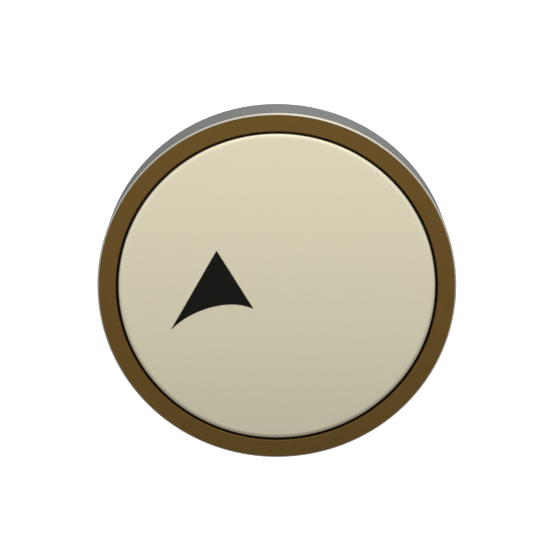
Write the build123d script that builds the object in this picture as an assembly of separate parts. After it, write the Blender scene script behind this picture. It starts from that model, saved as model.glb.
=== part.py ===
from build123d import *
import math
import os

# Round push button for a pedestrian crossing. Everything is in millimetres.
#
# The button is pressed along +Y. Its face looks to -Y, its arrow points up to +Z, and Y = 0 is
# the face of the housing that is screwed down on a panel. Places along the axis are written as
# depths behind the front face of the bezel, and at() turns a depth into a Y.

# Outside
BEZEL_R = 35.0  # over everything
FLANGE_DEPTH = 9.8  # front of the bezel to the mounting face
FLANGE_DRAFT = 0.5  # how much smaller the casting is at its back edge
FLANGE_EDGE = 0.4  # chamfer round the back edge

# Bezel
BEZEL_BORE_R = 31.3
BEZEL_CHAMFER = 0.35
BEZEL_LIP = 0.7  # thickness of the rim that sits on the housing
BEZEL_BREAK = 0.15  # chamfer on the inner edge of the face
SPIGOT_R = 33.2
SPIGOT_END = 4.4
GROOVE_DEPTH = 2.5  # where the locking groove runs round the spigot
GROOVE_CUT = 0.4
LOCK_R = 1.25  # M2.5 grub screw through the housing's wall into the groove
LOCK_POINT = 1.1  # height of the screw's cone
LOCK_SOCKET = (0.75, 0.8)  # radius over corners, depth
LOCK_SUNK = 0.1  # below the smallest radius of the flange

# Push cap
CAP_R = 30.88
CAP_PROUD = 0.0  # how far the cap stands out of the bezel
CAP_THICKNESS = 1.9
CAP_SLOPE = (0.8, 0.22)  # shallow turned slope round the face: width, drop
CAP_EDGE = 0.1  # round where the slope meets the side
SKIRT_R = 29.5
SKIRT_WALL = 1.5
SKIRT_END = 5.6
TRAVEL = 2.0
CAP_BACK = CAP_THICKNESS - CAP_PROUD

# Arrow, as (x, z) on the face of the cap
ARROW_LEFT_TAIL = (-20.55, -8.48)
ARROW_TIP = (-11.72, 7.37)
ARROW_RIGHT_TAIL = (-4.65, -4.28)
ARROW_BASE = ((-9.6, -1.88), (-17.2, -4.78))  # what the hollow base bends towards, from right to left
ARROW_RAISE = 0.35
POCKET = 0.5
POCKET_GAP = 0.03

# Housing
RABBET_R = 33.25
LEDGE = 5.6  # the step that the rim seal is clamped on
LEDGE_R = 30.6
FLOOR = 8.4
FLOOR_BACK = 10.4
BARREL_R = 19.0
BARREL_WALL = 2.0
BARREL_END = 35.0
BARREL_BORE_R = BARREL_R - BARREL_WALL
SEAL_R = 31.3  # inside of the rim seal's clamped bead
FIT_GAP = 0.02  # between pieces of one assembly that are pressed or screwed together
SLIDE_GAP = 0.05  # between a moving piece and what guides it
PAST = 1.0  # how far a cutting shape runs past the face it opens
ROOT = 0.5  # how far a boss is rooted in the wall it stands on

# Guides: three shoulder screws that carry the cap
GUIDE_CIRCLE_R = 13.0
GUIDE_ANGLES = (90, 210, 330)
SHOULDER_R = 1.5
GUIDE_THREAD_R = 1.25
GUIDE_THREAD = 2.8
DRILL_SPARE = 0.2  # hole left beyond a screw's end
GUIDE_BOSS_R = 2.6
GUIDE_BOSS_END = 4.0
GUIDE_HEAD = (2.75, 2.2)  # heads are given as radius, height
GUIDE_SOCKET_R = 1.45
BUSH_R = 2.5
BUSH_FLANGE_R = 3.6
BUSH_FLANGE = 0.6
BUSH_END = 12.2
BUSH_BOSS_R = 4.2
STOP_WASHER = 0.65
STOP_WASHER_R = 3.3

# Return springs, one round each guide
SPRING_R = 3.1  # to the middle of the wire
SPRING_WIRE = 0.6
SPRING_TURNS = 4.5
SPRING_SEAT = FLOOR - BUSH_FLANGE

# Actuator pin in the middle of the cap
PIN_R = 2.0
PIN_TIP_R = 1.5
PIN_SEAT = 1.4
PIN_BOSS_R = 3.4
PIN_BOSS_END = 4.5
PIN_SHOULDER = 12.0
PIN_CHAMFER = 0.2
STEM_HOLE_R = 3.4
STEM_FLANGE_R = 4.6
STEM_FLANGE = 0.6
STEM_WAIST = 0.4  # hollow between the two lips

# Fixing holes in the mounting face, M4
FIXING_CIRCLE_R = 24.0
FIXING_ANGLES = (30, 150, 270)
FIXING_TAP_R = 1.65
FIXING_HOLE = 4.2  # depth of the tapped hole
FIXING_BOSS_R = 3.5
FIXING_BOSS_TOP = 4.7

# Rubber rings
BUMPER_R = (27.9, 29.9)
BUMPER_TOP = SKIRT_END + TRAVEL + SLIDE_GAP
BUMPER_SEAT = 8.8
GASKET_R = (30.65, 32.95)
GASKET_THICKNESS = 1.0

# Snap-action switch. Its lever lies on the button's axis and its pivot is off to the left.
LEVER_ARM = 14.0  # pivot to the actuator pin
PIVOT_X = -LEVER_ARM
PIVOT_DEPTH = 16.4
PIVOT_PIN_R = 0.45
KNUCKLE_R = 0.95
LEVER_SHEET = 0.4
LEVER_HALF_WIDTH = 1.9
LEVER_FACE = 0.6  # front of the sheet ahead of the pivot
LEVER_TIP = 1.8  # how far the sheet runs past the button's axis
LEVER_ANGLE = math.degrees(math.atan(TRAVEL / LEVER_ARM))
CONTACT_GAP = 0.08  # left between pin and lever when the lever lies flat
PIN_TIP = PIVOT_DEPTH - LEVER_FACE - CONTACT_GAP - TRAVEL
PLUNGER_ARM = 4.0  # pivot to the switch's own plunger
PLUNGER_R = 1.0
PLUNGER_TRAVEL = TRAVEL * PLUNGER_ARM / LEVER_ARM
PLUNGER_CENTRE = PIVOT_DEPTH - (LEVER_FACE - LEVER_SHEET) + PLUNGER_R + SLIDE_GAP - PLUNGER_TRAVEL
PLUNGER_COLLAR_R = 1.5
PLUNGER_COLLAR = 0.55
CASE_X = (-15.4, 5.4)
CASE_FRONT = PIVOT_DEPTH + KNUCKLE_R + 0.2
CASE_BACK = CASE_FRONT + 10.2
CASE_HALF = 3.2  # half the thickness of the switch
LID = 1.0  # thickness of the lid, and of the ears that hold the lever's pin
EAR_R = 1.1
CASE_WALL = 1.4
CASE_SKIN = 1.0  # closed side of the case
CASE_CORNER = 0.5
CAVITY_BACK = CASE_FRONT + 6.1
BLADE_DEPTH = CASE_FRONT + 3.5
BLADE_SHEET = 0.2
BLADE_HALF = 1.1
BLADE_SLOT_X = (-10.9, -3.0)
BLADE_SLOT_HALF = 0.45
CONTACT_X = 1.1
CONTACT_R = 0.9
CONTACT_LIFT = 0.7  # from the blade to each face of the moving contact
CONTACT_ARM = 1.0  # half the length of the metal that carries a contact
CLOSED_GAP = 0.1
OPEN_GAP = 0.3
BAR_Z = (1.5, 2.0)  # the closed terminal's bar, beside the blade
BAR_HALF = 0.4
TERMINAL_X = (-12.5, -4.5, 3.5)  # common, normally closed, normally open
TERMINAL_HALF = 1.2
TERMINAL_SHEET = 0.5
TERMINAL_FOOT = 0.5  # thickness of a terminal's foot inside the case
TERMINAL_END = CASE_BACK + 3.6
TERMINAL_EYE = (0.6, 1.1)  # radius, and from the tab's end
SWITCH_HOLE_X = (-9.3, 0.2)
SWITCH_HOLE_DEPTH = CASE_FRONT + 8.1
SWITCH_SCREW_R = 1.1
SWITCH_HEAD = (1.9, 1.3)
SWITCH_NUT = (4.0, 1.6)  # nuts are given as width across flats, thickness
SCREW_END = 2.0  # what shows of the switch screws past the case

# Bracket that carries the switch
BRACKET_SHEET = 1.0
BRACKET_LEG_X = (-14.4, -4.6)
BRACKET_ARM_X = (-14.4, 3.2)
BRACKET_FOOT_Z = 9.0
BRACKET_SCREW_X = (-12.0, -7.0)
BRACKET_SCREW_Z = 6.7
BRACKET_SCREW_R = 1.2
BRACKET_HEAD = (2.1, 1.5)
BRACKET_BOSS_R = 2.4
BRACKET_BOSS_TOP = 6.4
BRACKET_HOLE_FLOOR = 0.8

# Terminal plate that closes the barrel
COVER_GASKET = 0.8
PLATE_R = BARREL_R - 0.4
PLATE_FRONT = BARREL_END + COVER_GASKET
PLATE_THICKNESS = 3.0
PLATE_BACK = PLATE_FRONT + PLATE_THICKNESS
COVER_CIRCLE_R = 15.0
COVER_ANGLES = (90, 210, 330)
COVER_BOSS_R = 2.5
COVER_BOSS_TOP = 27.0
COVER_TAP_R = 1.05
COVER_CLEAR_R = 1.4
COVER_HOLE = 7.0
COVER_HEAD = (2.3, 1.7)
PLATE_CHAMFER = 0.6
POST_X = (-6.5, 6.5)
POST_R = 2.95
POST_INNER_R = 2.45
POST_COLLAR_R = 4.2
POST_COLLAR = 1.0
POST_TAP_R = 1.65
POST_INNER_END = 33.2
POST_FLOOR = 0.8  # metal left at the blind end of the post
TERMINAL_HEAD = (3.7, 2.3)
SCREW_SLOT = 1.0
LUG = 0.6
LUG_R = 3.9
LUG_TAIL_HALF = 1.3
LUG_TAIL_END = 8.6
NUT_ACROSS = 7.0
THREAD_SHOWN = 0.3  # what shows of a post past its nut
CUP_WASHER = 1.1
CUP_WASHER_R = (2.15, 4.0)
CUP_GROOVE_R = (3.2, 3.4)
BARRIER_HALF = 0.8
BARRIER_LENGTH = 16.0
BARRIER_HEIGHT = 5.0

# Leads from the switch to the terminal posts
LEAD_R = 0.5
LEAD_ON_TAB = TERMINAL_SHEET / 2 + LEAD_R
LEAD_ON_LUG = PLATE_FRONT - LUG - LEAD_R


def at(depth):
    """The Y of a depth behind the bezel's front face."""
    return depth - FLANGE_DEPTH


def places(radius, angles):
    """The (x, z) of each angle on a circle round the axis, counted from +X towards +Z."""
    turns = [math.radians(angle) for angle in angles]
    return [(radius * math.cos(turn), radius * math.sin(turn)) for turn in turns]


GUIDES = places(GUIDE_CIRCLE_R, GUIDE_ANGLES)
FIXINGS = places(FIXING_CIRCLE_R, FIXING_ANGLES)
COVER_SCREWS = places(COVER_CIRCLE_R, COVER_ANGLES)
BRACKET_SCREWS = [(x, BRACKET_SCREW_Z) for x in BRACKET_SCREW_X]
POSTS = [(x, 0.0) for x in POST_X]


def turned(*profile):
    """A solid of revolution about the axis, from (radius, depth) points."""
    outline = Polyline(*[(radius, at(depth)) for radius, depth in profile], close=True)
    return revolve(make_face(outline), Axis.Y)


def prism(sketch, front, back, x=0.0, z=0.0):
    """A flat sketch, drawn as seen from the front, carried along the axis between two depths."""
    plane = Plane(origin=(x, at(back), z), x_dir=(1, 0, 0), z_dir=(0, -1, 0))
    return extrude(plane * sketch, amount=back - front)


def disc(radius, front, back, x=0.0, z=0.0):
    """A cylinder along the axis between two depths, centred on (x, z)."""
    return prism(Circle(radius), front, back, x, z)


def discs(radius, front, back, centres):
    """One such cylinder at each centre."""
    return [disc(radius, front, back, x, z) for x, z in centres]


def tube(inner, outer, front, back, x=0.0, z=0.0):
    """A plain ring along the axis between two depths."""
    return disc(outer, front, back, x, z) - disc(inner, front - PAST, back + PAST, x, z)


def block(x, depth, z):
    """A box from three (low, high) pairs."""
    low_y, high_y = at(depth[0]), at(depth[1])
    centre = Pos((x[0] + x[1]) / 2, (low_y + high_y) / 2, (z[0] + z[1]) / 2)
    return centre * Box(x[1] - x[0], high_y - low_y, z[1] - z[0])


# Fasteners are drawn along +Z with the seat of the head at the origin, then placed.


def rearward(x, depth, z):
    """Turns a fastener so that its head faces +Y, with its seat at this depth."""
    return Pos(x, at(depth), z) * Rot(X=-90)


def cross_drive(size):
    """Outline of a cross recess."""
    return Rectangle(size, size * 0.28) + Rectangle(size * 0.28, size)


def screw(shank_r, length, head, drive, crown=0.35):
    """Screw whose head is (radius, height); drive is the recess outline, crown rounds the head's edge."""
    head_r, height = head
    shank = Pos(0, 0, -length / 2) * Cylinder(shank_r, length)
    shank = chamfer(shank.edges().sort_by(Axis.Z)[0], shank_r * 0.3)
    top = Pos(0, 0, height / 2) * Cylinder(head_r, height)
    top = fillet(top.edges().sort_by(Axis.Z)[-1], height * crown)
    recess = Pos(0, 0, height * 0.4) * extrude(drive, amount=height)
    return shank + top - recess


def hex_nut(across, thickness, bore_r):
    """Hexagon nut standing on its seat."""
    body = extrude(RegularPolygon(across / math.sqrt(3), 6), amount=thickness)
    return body - Pos(0, 0, thickness / 2) * Cylinder(bore_r, thickness * 2)


# Housing and what is fixed to it


def housing():
    """Cast cup with a tapered flange, a floor, and a barrel behind it for the switch."""
    flange_back_r = BEZEL_R - FLANGE_DRAFT
    body = turned(
        (0, FLOOR),
        (LEDGE_R, FLOOR),
        (LEDGE_R, LEDGE),
        (RABBET_R, LEDGE),
        (RABBET_R, BEZEL_LIP),
        (BEZEL_R - FIT_GAP, BEZEL_LIP),
        (flange_back_r, FLANGE_DEPTH - FLANGE_EDGE),
        (flange_back_r - FLANGE_EDGE, FLANGE_DEPTH),
        (BARREL_R, FLANGE_DEPTH),
        (BARREL_R, BARREL_END),
        (BARREL_BORE_R, BARREL_END),
        (BARREL_BORE_R, FLOOR_BACK),
        (0, FLOOR_BACK),
    )
    floor_root = FLOOR + ROOT
    bosses = discs(FIXING_BOSS_R, FIXING_BOSS_TOP, floor_root, FIXINGS)
    bosses += discs(BUSH_BOSS_R, FLOOR_BACK - ROOT, BUSH_END, GUIDES)
    bosses += discs(COVER_BOSS_R, COVER_BOSS_TOP, BARREL_END, COVER_SCREWS)
    bosses += discs(BRACKET_BOSS_R, BRACKET_BOSS_TOP, floor_root, BRACKET_SCREWS)
    holes = discs(FIXING_TAP_R, FLANGE_DEPTH - FIXING_HOLE, FLANGE_DEPTH + PAST, FIXINGS)
    holes += discs(BUSH_R + FIT_GAP, FLOOR - PAST, BUSH_END + PAST, GUIDES)
    holes += discs(COVER_TAP_R, BARREL_END - COVER_HOLE, BARREL_END + PAST, COVER_SCREWS)
    bracket_hole = BRACKET_BOSS_TOP + BRACKET_HOLE_FLOOR
    holes += discs(BRACKET_SCREW_R + FIT_GAP, bracket_hole, FLOOR_BACK + PAST, BRACKET_SCREWS)
    holes.append(disc(STEM_HOLE_R, FLOOR - PAST, FLOOR_BACK + PAST))
    holes.append(tube(BUMPER_R[0] - FIT_GAP, BUMPER_R[1] + FIT_GAP, FLOOR - PAST, BUMPER_SEAT))
    gasket_depth = (FLANGE_DEPTH - GASKET_THICKNESS, FLANGE_DEPTH + PAST)
    holes.append(tube(GASKET_R[0] - FIT_GAP, GASKET_R[1] + FIT_GAP, *gasket_depth))
    wall = BEZEL_R - RABBET_R
    holes.append(Pos(0, at(GROOVE_DEPTH), -BEZEL_R) * Cylinder(LOCK_R + FIT_GAP, 2 * wall))
    return body + bosses - holes


def bezel_ring():
    """Face ring with a chamfered rim and a grooved spigot that screws into the housing."""
    return turned(
        (BEZEL_BORE_R, BEZEL_BREAK),
        (BEZEL_BORE_R + BEZEL_BREAK, 0),
        (BEZEL_R - BEZEL_CHAMFER, 0),
        (BEZEL_R, BEZEL_CHAMFER),
        (BEZEL_R, BEZEL_LIP),
        (SPIGOT_R, BEZEL_LIP),
        (SPIGOT_R, GROOVE_DEPTH - GROOVE_CUT),
        (SPIGOT_R - GROOVE_CUT, GROOVE_DEPTH),
        (SPIGOT_R, GROOVE_DEPTH + GROOVE_CUT),
        (SPIGOT_R, SPIGOT_END),
        (BEZEL_BORE_R, SPIGOT_END),
    )


def bezel_lock_screw():
    """Grub screw with a cone point, hidden under the rim at the bottom."""
    point = SPIGOT_R - GROOVE_CUT / 2
    back = BEZEL_R - FLANGE_DRAFT - LOCK_SUNK
    body = Pos(0, 0, (point + back) / 2) * Cylinder(LOCK_R, back - point)
    body = chamfer(body.edges().sort_by(Axis.Z)[0], LOCK_POINT)
    socket_r, socket_depth = LOCK_SOCKET
    socket = Pos(0, 0, back - socket_depth) * extrude(RegularPolygon(socket_r, 6), amount=2 * socket_depth)
    return Pos(0, at(GROOVE_DEPTH), 0) * Rot(X=180) * (body - socket)


def rim_seal():
    """Wiper ring clamped under the bezel's spigot, its lip just clear of the cap's skirt."""
    lip = SKIRT_R + SLIDE_GAP
    waist = (SEAL_R + lip) / 2
    return turned(
        (RABBET_R - FIT_GAP, SPIGOT_END),
        (RABBET_R - FIT_GAP, LEDGE),
        (SEAL_R, LEDGE),
        (waist, LEDGE - 0.35),
        (lip, LEDGE - 1.0),
        (lip, LEDGE - 1.25),
        (waist, LEDGE - 0.85),
        (SEAL_R, LEDGE - 0.55),
        (SEAL_R, SPIGOT_END),
    )


def bumper_ring():
    """Rubber stop that the skirt lands on at full travel."""
    return tube(*BUMPER_R, BUMPER_TOP, BUMPER_SEAT)


def mounting_gasket():
    """Flat ring in the groove of the mounting face, shown squeezed flush."""
    return tube(*GASKET_R, FLANGE_DEPTH - GASKET_THICKNESS, FLANGE_DEPTH)


def guide_bush(x, z):
    """Flanged bush that a guide screw slides in; the spring stands on its flange."""
    body = disc(BUSH_R, FLOOR, BUSH_END, x, z) + disc(BUSH_FLANGE_R, FLOOR - BUSH_FLANGE, FLOOR, x, z)
    return body - disc(SHOULDER_R + SLIDE_GAP, FLOOR - BUSH_FLANGE - PAST, BUSH_END + PAST, x, z)


def stem_seal():
    """Grommet in the middle of the floor, with a lip each side that wipes the actuator pin."""
    bore = PIN_R + SLIDE_GAP
    return turned(
        (bore, FLOOR - STEM_FLANGE),
        (STEM_FLANGE_R, FLOOR - STEM_FLANGE),
        (STEM_FLANGE_R, FLOOR),
        (STEM_HOLE_R - FIT_GAP, FLOOR),
        (STEM_HOLE_R - FIT_GAP, FLOOR_BACK),
        (STEM_FLANGE_R, FLOOR_BACK),
        (STEM_FLANGE_R - STEM_FLANGE, FLOOR_BACK + STEM_FLANGE),
        (bore, FLOOR_BACK + STEM_FLANGE),
        (bore, FLOOR_BACK),
        (bore + STEM_WAIST, (FLOOR + FLOOR_BACK) / 2),
        (bore, FLOOR),
    )


def return_spring(x, z):
    """Coil spring round a guide, from the cap's back to the flange of the bush."""
    height = SPRING_SEAT - CAP_BACK - SPRING_WIRE
    helix = Helix(pitch=height / SPRING_TURNS, height=height, radius=SPRING_R)
    section = Plane(origin=helix @ 0, z_dir=helix % 0) * Circle(SPRING_WIRE / 2)
    coil = sweep(section, path=helix, is_frenet=True)
    return rearward(x, CAP_BACK + SPRING_WIRE / 2, z) * coil


# The moving button


def moved_out(corners, gap):
    """Corners of an outline drawn clockwise, moved so that each side goes outwards by the gap."""
    moved = []
    for number, here in enumerate(corners):
        arriving = (here - corners[number - 1]).normalized()
        leaving = (corners[(number + 1) % len(corners)] - here).normalized()
        moved.append(here + (leaving - arriving) * (gap / arriving.cross(leaving).Z))
    return moved


def arrow_outline(gap=0.0):
    """Arrow head with straight flanks and a hollow base on one curve, with a gap round it."""
    corners = [Vector(*each) for each in (ARROW_LEFT_TAIL, ARROW_TIP, ARROW_RIGHT_TAIL, *ARROW_BASE)]
    left_tail, tip, right_tail, *base = moved_out(corners, gap)
    flanks = Polyline(left_tail, tip, right_tail)
    hollow = Bezier(right_tail, *base, left_tail)
    return make_face(flanks.edges() + hollow.edges())


def button_cap():
    """Round plate with a skirt, three bosses for the guide screws and one for the pin."""
    width, drop = CAP_SLOPE
    plate = turned(
        (0, -CAP_PROUD),
        (CAP_R - width, -CAP_PROUD),
        (CAP_R, drop - CAP_PROUD),
        (CAP_R, CAP_BACK),
        (0, CAP_BACK),
    )
    rims = plate.edges().filter_by(GeomType.CIRCLE).sort_by(Axis.Y)
    plate = fillet(rims[1], CAP_EDGE)
    root = CAP_BACK - ROOT
    cap = plate + tube(SKIRT_R - SKIRT_WALL, SKIRT_R, root, SKIRT_END)
    cap += disc(PIN_BOSS_R, root, PIN_BOSS_END)
    cap += discs(GUIDE_BOSS_R, root, GUIDE_BOSS_END, GUIDES)
    cap -= disc(PIN_R + FIT_GAP, PIN_SEAT, PIN_BOSS_END + PAST)
    thread_end = GUIDE_BOSS_END - GUIDE_THREAD - DRILL_SPARE
    cap -= discs(GUIDE_THREAD_R + FIT_GAP, thread_end, GUIDE_BOSS_END + PAST, GUIDES)
    return cap - prism(arrow_outline(POCKET_GAP), -CAP_PROUD - PAST, POCKET - CAP_PROUD)


def arrow_inlay():
    """Arrow set in the pocket of the cap and standing a little proud, so that it can be felt."""
    return prism(arrow_outline(), -CAP_PROUD - ARROW_RAISE, POCKET - CAP_PROUD)


def guide_screw(x, z):
    """Shoulder screw: threaded in the cap, sliding in the bush, its head holding the cap in."""
    head_seat = BUSH_END + SLIDE_GAP + STOP_WASHER
    socket = RegularPolygon(GUIDE_SOCKET_R, 6)
    shoulder = screw(SHOULDER_R, head_seat - GUIDE_BOSS_END, GUIDE_HEAD, socket, 0.15)
    thread = disc(GUIDE_THREAD_R, GUIDE_BOSS_END - GUIDE_THREAD, GUIDE_BOSS_END, x, z)
    return rearward(x, head_seat, z) * shoulder + thread


def stop_washer(x, z):
    """Soft washer under the head of a guide screw."""
    front = BUSH_END + SLIDE_GAP
    return tube(SHOULDER_R + FIT_GAP, STOP_WASHER_R, front, front + STOP_WASHER, x, z)


def actuator_pin():
    """Pin pressed in the cap that works the switch through the floor."""
    pin = turned(
        (0, PIN_SEAT),
        (PIN_R, PIN_SEAT),
        (PIN_R, PIN_SHOULDER),
        (PIN_R - PIN_CHAMFER, PIN_SHOULDER + PIN_CHAMFER),
        (PIN_TIP_R, PIN_SHOULDER + PIN_CHAMFER),
        (PIN_TIP_R, PIN_TIP - PIN_TIP_R),
        (0, PIN_TIP - PIN_TIP_R),
    )
    return pin + Pos(0, at(PIN_TIP - PIN_TIP_R), 0) * Sphere(PIN_TIP_R)


# The switch


def along_z(radius, z, x, depth):
    """A cylinder along Z between two heights."""
    return Pos(x, at(depth), (z[0] + z[1]) / 2) * Cylinder(radius, z[1] - z[0])


def pivot_ear(z):
    """A rounded ear in front of the case that holds one end of the lever's pin."""
    ear = along_z(EAR_R, z, PIVOT_X, PIVOT_DEPTH)
    ear += block((PIVOT_X - EAR_R, PIVOT_X + EAR_R), (PIVOT_DEPTH, CASE_FRONT + ROOT), z)
    return ear - along_z(PIVOT_PIN_R + FIT_GAP / 2, (z[0] - PAST, z[1] + PAST), PIVOT_X, PIVOT_DEPTH)


def switch_holes():
    """The two mounting holes across the switch."""
    span = (-CASE_HALF - PAST, CASE_HALF + BRACKET_SHEET + PAST)
    return [along_z(SWITCH_SCREW_R + FIT_GAP, span, x, SWITCH_HOLE_DEPTH) for x in SWITCH_HOLE_X]


def plunger_hole():
    """The hole that the switch's plunger slides in."""
    ends = (CASE_FRONT - PAST, CASE_FRONT + CASE_WALL + PAST)
    return disc(PLUNGER_R + SLIDE_GAP, *ends, PIVOT_X + PLUNGER_ARM)


def tab(x, front, back):
    """The flat strip of one terminal, in the middle of the switch's thickness."""
    half = TERMINAL_SHEET / 2
    return block((x - TERMINAL_HALF, x + TERMINAL_HALF), (front, back), (-half, half))


def switch_case():
    """Moulded body of the switch, open on the side that the lid closes."""
    low, high = -CASE_HALF, CASE_HALF - LID
    case = block(CASE_X, (CASE_FRONT, CASE_BACK), (low, high))
    case = fillet(case.edges().filter_by(Axis.Z), CASE_CORNER)
    case += pivot_ear((low, low + LID))
    inside_x = (CASE_X[0] + CASE_WALL, CASE_X[1] - CASE_WALL)
    case -= block(inside_x, (CASE_FRONT + CASE_WALL, CAVITY_BACK), (low + CASE_SKIN, high + PAST))
    case -= [tab(x, CAVITY_BACK - PAST, CASE_BACK + PAST) for x in TERMINAL_X]
    return case - switch_holes() - plunger_hole()


def switch_lid():
    """Side cover of the switch, with the other pivot ear."""
    low, high = CASE_HALF - LID, CASE_HALF
    lid = block(CASE_X, (CASE_FRONT, CASE_BACK), (low, high))
    lid = fillet(lid.edges().filter_by(Axis.Z), CASE_CORNER)
    lid += pivot_ear((low, high))
    return lid - switch_holes()


def switch_terminals():
    """Common, closed and open terminals: a tab outside, a foot or a contact inside."""
    common, closed, opened = TERMINAL_X
    foot = (CAVITY_BACK - TERMINAL_FOOT, CAVITY_BACK)
    eye_r, eye_back = TERMINAL_EYE
    blade = (BLADE_DEPTH, BLADE_DEPTH + BLADE_SHEET)
    closed_face = blade[0] - CONTACT_LIFT - CLOSED_GAP
    open_face = blade[1] + CONTACT_LIFT + OPEN_GAP
    contact_x = (CONTACT_X - CONTACT_ARM, CONTACT_X + CONTACT_ARM)
    tabs = []
    for x in TERMINAL_X:
        eye = along_z(eye_r, (-PAST, PAST), x, TERMINAL_END - eye_back)
        tabs.append(tab(x, foot[0], TERMINAL_END) - eye)
    # The common terminal's foot carries the blade.
    post_x = (common - TERMINAL_HALF, common + TERMINAL_HALF)
    post = block(post_x, (blade[1], foot[1]), (-TERMINAL_HALF, TERMINAL_HALF))
    # The closed terminal climbs past the blade's side and comes over its end.
    bar = (closed_face - 2 * TERMINAL_FOOT, closed_face - TERMINAL_FOOT)
    riser_x = (closed - BAR_HALF, closed + BAR_HALF)
    over = block(riser_x, foot, (-TERMINAL_SHEET / 2, BAR_Z[1]))
    over += block(riser_x, (bar[0], foot[1]), BAR_Z)
    over += block((riser_x[0], contact_x[1]), bar, BAR_Z)
    over += block(contact_x, bar, (-CONTACT_ARM, BAR_Z[1]))
    over += disc(CONTACT_R, bar[1], closed_face, CONTACT_X)
    # The open terminal has a pad under the blade's end.
    pad = block((contact_x[0], opened + BAR_HALF), foot, (-CONTACT_ARM, CONTACT_ARM))
    pad += disc(CONTACT_R, open_face, foot[0], CONTACT_X)
    return Compound(children=[tabs[0] + post, tabs[1] + over, tabs[2] + pad])


def switch_blade():
    """Snap blade from the common foot to the moving contact."""
    sheet = (BLADE_DEPTH, BLADE_DEPTH + BLADE_SHEET)
    rivet_r = CONTACT_R - 0.1
    strip_x = (TERMINAL_X[0] - TERMINAL_HALF, CONTACT_X + rivet_r)
    strip = block(strip_x, sheet, (-BLADE_HALF, BLADE_HALF))
    slot_z = (-BLADE_SLOT_HALF, BLADE_SLOT_HALF)
    slot = block(BLADE_SLOT_X, (sheet[0] - PAST, sheet[1] + PAST), slot_z)
    rivet = disc(rivet_r, sheet[0] - CONTACT_LIFT, sheet[1] + CONTACT_LIFT, CONTACT_X)
    return strip - slot + rivet


def switch_plunger():
    """Domed pin that the lever presses, with a collar that keeps it in the case."""
    x = PIVOT_X + PLUNGER_ARM
    pin = disc(PLUNGER_R, PLUNGER_CENTRE, BLADE_DEPTH - PLUNGER_TRAVEL - SLIDE_GAP, x)
    collar = CASE_FRONT + CASE_WALL + SLIDE_GAP
    pin += disc(PLUNGER_COLLAR_R, collar, collar + PLUNGER_COLLAR, x)
    return pin + Pos(x, at(PLUNGER_CENTRE), 0) * Sphere(PLUNGER_R)


def switch_lever():
    """Sheet lever with a rolled knuckle, leaning forward to meet the actuator pin."""
    width = 2 * LEVER_HALF_WIDTH
    length = LEVER_ARM + LEVER_TIP
    sheet = Pos(length / 2, -LEVER_FACE + LEVER_SHEET / 2, 0) * Box(length, LEVER_SHEET, width)
    knuckle = Cylinder(KNUCKLE_R, width) - Cylinder(PIVOT_PIN_R + SLIDE_GAP, width)
    lever = sheet - Cylinder(PIVOT_PIN_R + SLIDE_GAP, width) + knuckle
    return Pos(PIVOT_X, at(PIVOT_DEPTH), 0) * Rot(Z=-LEVER_ANGLE) * lever


def lever_pin():
    """Pin through both ears and the lever's knuckle."""
    half = CASE_HALF - 0.1
    return along_z(PIVOT_PIN_R, (-half, half), PIVOT_X, PIVOT_DEPTH)


def switch_bracket():
    """Bent angle: a foot screwed to the floor and an arm along the side of the switch."""
    arm_z = (CASE_HALF, CASE_HALF + BRACKET_SHEET)
    arm_end = CASE_BACK - 1.0
    foot = block(BRACKET_LEG_X, (FLOOR_BACK, FLOOR_BACK + BRACKET_SHEET), (CASE_HALF, BRACKET_FOOT_Z))
    leg = block(BRACKET_LEG_X, (FLOOR_BACK, arm_end), arm_z)
    arm = block(BRACKET_ARM_X, (CASE_FRONT + 1.0, arm_end), arm_z)
    bracket = foot + leg + arm
    corner = Vertex(0, at(FLOOR_BACK), CASE_HALF)
    bend = bracket.edges().filter_by(Axis.X).sort_by_distance(corner)[0]
    bracket = fillet(bend, BRACKET_SHEET * 0.9)
    foot_ends = (FLOOR_BACK - PAST, FLOOR_BACK + BRACKET_SHEET + PAST)
    return bracket - discs(BRACKET_SCREW_R + 0.1, *foot_ends, BRACKET_SCREWS) - switch_holes()


def bracket_screw(x, z):
    """Screw through the bracket's foot into the floor."""
    seat = FLOOR_BACK + BRACKET_SHEET
    length = seat - BRACKET_BOSS_TOP - BRACKET_HOLE_FLOOR - DRILL_SPARE
    return rearward(x, seat, z) * screw(BRACKET_SCREW_R, length, BRACKET_HEAD, cross_drive(2.2))


def switch_screw(x):
    """Screw across the switch, its head on the bracket."""
    length = 2 * CASE_HALF + BRACKET_SHEET + SCREW_END
    fastener = screw(SWITCH_SCREW_R, length, SWITCH_HEAD, cross_drive(2.0))
    return Pos(x, at(SWITCH_HOLE_DEPTH), CASE_HALF + BRACKET_SHEET) * fastener


def switch_nut(x):
    """Nut on the far side of the switch."""
    across, thickness = SWITCH_NUT
    nut = hex_nut(across, thickness, SWITCH_SCREW_R + FIT_GAP)
    return Pos(x, at(SWITCH_HOLE_DEPTH), -CASE_HALF - thickness) * nut


# The terminal plate and its hardware


def cover_gasket():
    """Gasket cut to the end of the barrel: its wall, the three bosses and their holes."""
    outline = Circle(PLATE_R) - Circle(BARREL_BORE_R)
    for x, z in COVER_SCREWS:
        outline += Pos(x, z) * Circle(COVER_BOSS_R)
        outline -= Pos(x, z) * Circle(COVER_CLEAR_R)
    return prism(outline, BARREL_END, PLATE_FRONT)


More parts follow.
